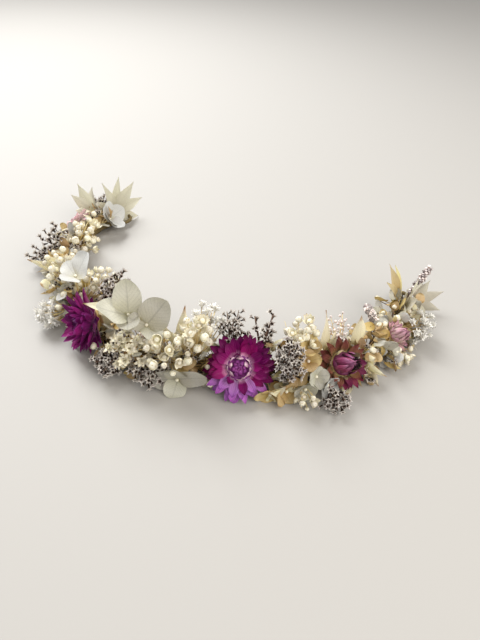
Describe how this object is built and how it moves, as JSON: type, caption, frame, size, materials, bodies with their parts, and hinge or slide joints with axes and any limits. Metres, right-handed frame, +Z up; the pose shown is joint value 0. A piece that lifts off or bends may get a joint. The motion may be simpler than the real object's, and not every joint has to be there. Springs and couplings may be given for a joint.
{
  "type": "flower crown",
  "caption": "Open half crown of dried strawflowers, hydrangea, limonium and leaves bound along a bendable tape-wrapped wire.",
  "frame": {"origin": "middle of the part's box in X and Y, at the level that it lies on", "axes": "+Z up; +X along the front from the wearer's right arm end to the left arm end; the crown opens towards +Y"},
  "size_m": [0.204, 0.139, 0.0327],
  "materials": {
    "core_wire": "dull annealed wire",
    "floral_tape": "waxed crepe paper tape, olive brown",
    "hot_glue": "cloudy, slightly yellow",
    "magenta_bracts": "dry papery, satin sheen",
    "burgundy_bracts": "dry papery, satin sheen",
    "pale_pink_bracts": "dry papery, satin sheen",
    "limonium": "brown-mauve stems with white papery stars",
    "cream_buds": "matt cream",
    "pearl_buds": "matt pinkish white",
    "hydrangea": "thin veined papery sepals",
    "bleached_leaf": "bleached leaf, dry",
    "statice": "soft white fluff",
    "mottled_spike": "mottled grey, white and dark purple"
  },
  "bodies": {
    "crown_middle": {"core_wire_middle": "core_wire", "tape_wrap_middle": "floral_tape", "glue_pad_magenta_left": "hot_glue", "strawflower_magenta_left": "magenta_bracts", "glue_pad_magenta_centre": "hot_glue", "strawflower_magenta_centre": "magenta_bracts", "glue_pad_burgundy_right": "hot_glue", "strawflower_burgundy_right": "burgundy_bracts", "bud_spray_2": "cream_buds", "statice_tuft_1": "statice", "hydrangea_floret_2": "hydrangea", "bud_spray_3": "cream_buds", "limonium_sprig_4": "limonium", "hydrangea_floret_3": "hydrangea", "limonium_sprig_5": "limonium", "statice_tuft_2": "statice", "pearl_spray_1": "pearl_buds", "limonium_sprig_6": "limonium", "bud_spray_4": "cream_buds", "hydrangea_floret_4": "hydrangea", "leaf_sprig_4": "bleached_leaf", "bud_spray_5": "cream_buds", "statice_tuft_3": "statice", "limonium_sprig_7": "limonium", "hydrangea_floret_5": "hydrangea", "limonium_sprig_8": "limonium", "limonium_sprig_9": "limonium", "bud_spray_6": "cream_buds", "hydrangea_floret_6": "hydrangea", "bud_spray_7": "cream_buds", "limonium_sprig_10": "limonium", "leaf_sprig_5": "bleached_leaf", "pearl_spray_2": "pearl_buds", "leaf_sprig_6": "bleached_leaf", "leaf_sprig_7": "bleached_leaf"},
    "left_arm": {"core_wire_left": "core_wire", "tape_wrap_left": "floral_tape", "wire_eye_left": "floral_tape", "glue_pad_pink_left": "hot_glue", "strawflower_pink_left": "pale_pink_bracts", "leaf_sprig_1": "bleached_leaf", "limonium_sprig_1": "limonium", "leaf_sprig_2": "bleached_leaf", "hydrangea_floret_1": "hydrangea", "bud_spray_1": "cream_buds", "limonium_sprig_2": "limonium", "limonium_sprig_3": "limonium", "leaf_sprig_3": "bleached_leaf"},
    "right_arm": {"core_wire_right": "core_wire", "tape_wrap_right": "floral_tape", "wire_eye_right": "floral_tape", "glue_pad_pink_right": "hot_glue", "strawflower_pink_right": "pale_pink_bracts", "bud_spray_8": "cream_buds", "mottled_spike_1": "mottled_spike", "statice_tuft_4": "statice", "leaf_sprig_8": "bleached_leaf", "leaf_sprig_9": "bleached_leaf", "mottled_spike_2": "mottled_spike", "leaf_sprig_10": "bleached_leaf"}
  },
  "joints": [
    {"name": "left_arm_bend", "type": "hinge", "parent": "crown_middle", "child": "left_arm", "pos_m": [-0.07725, -0.00429, 0.003], "axis": [0, 0, -1], "range_deg": [-12, 12]},
    {"name": "right_arm_bend", "type": "hinge", "parent": "crown_middle", "child": "right_arm", "pos_m": [0.05936, -0.03761, 0.003], "axis": [0, 0, 1], "range_deg": [-12, 12]}
  ]
}
